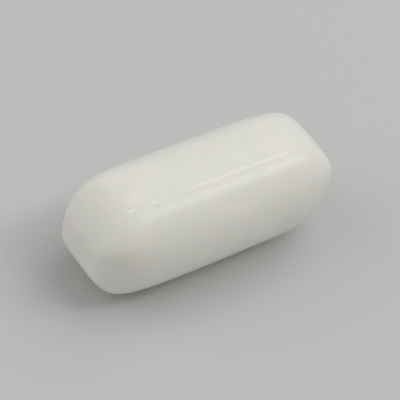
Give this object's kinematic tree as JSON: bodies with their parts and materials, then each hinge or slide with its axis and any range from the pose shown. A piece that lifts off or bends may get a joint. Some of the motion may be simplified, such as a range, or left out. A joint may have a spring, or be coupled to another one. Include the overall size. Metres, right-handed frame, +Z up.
{
  "type": "magnetic stir bar",
  "caption": "White PTFE-covered magnetic stir bar: a short round bar with softly sloped, rounded ends and a fine mould seam, with a rod magnet sealed inside.",
  "frame": {"origin": "under the middle of the bar, on the surface it lies on", "axes": "+X along the bar, +Z up, +Y away from the side on which the upper seam shows"},
  "size_m": [0.0184, 0.008, 0.008],
  "materials": {
    "ptfe": "satin, slightly translucent",
    "magnet_alloy": "ground cast alloy, unpolished"
  },
  "bodies": {
    "root": {"jacket": "ptfe", "magnet": "magnet_alloy"}
  },
  "joints": []
}
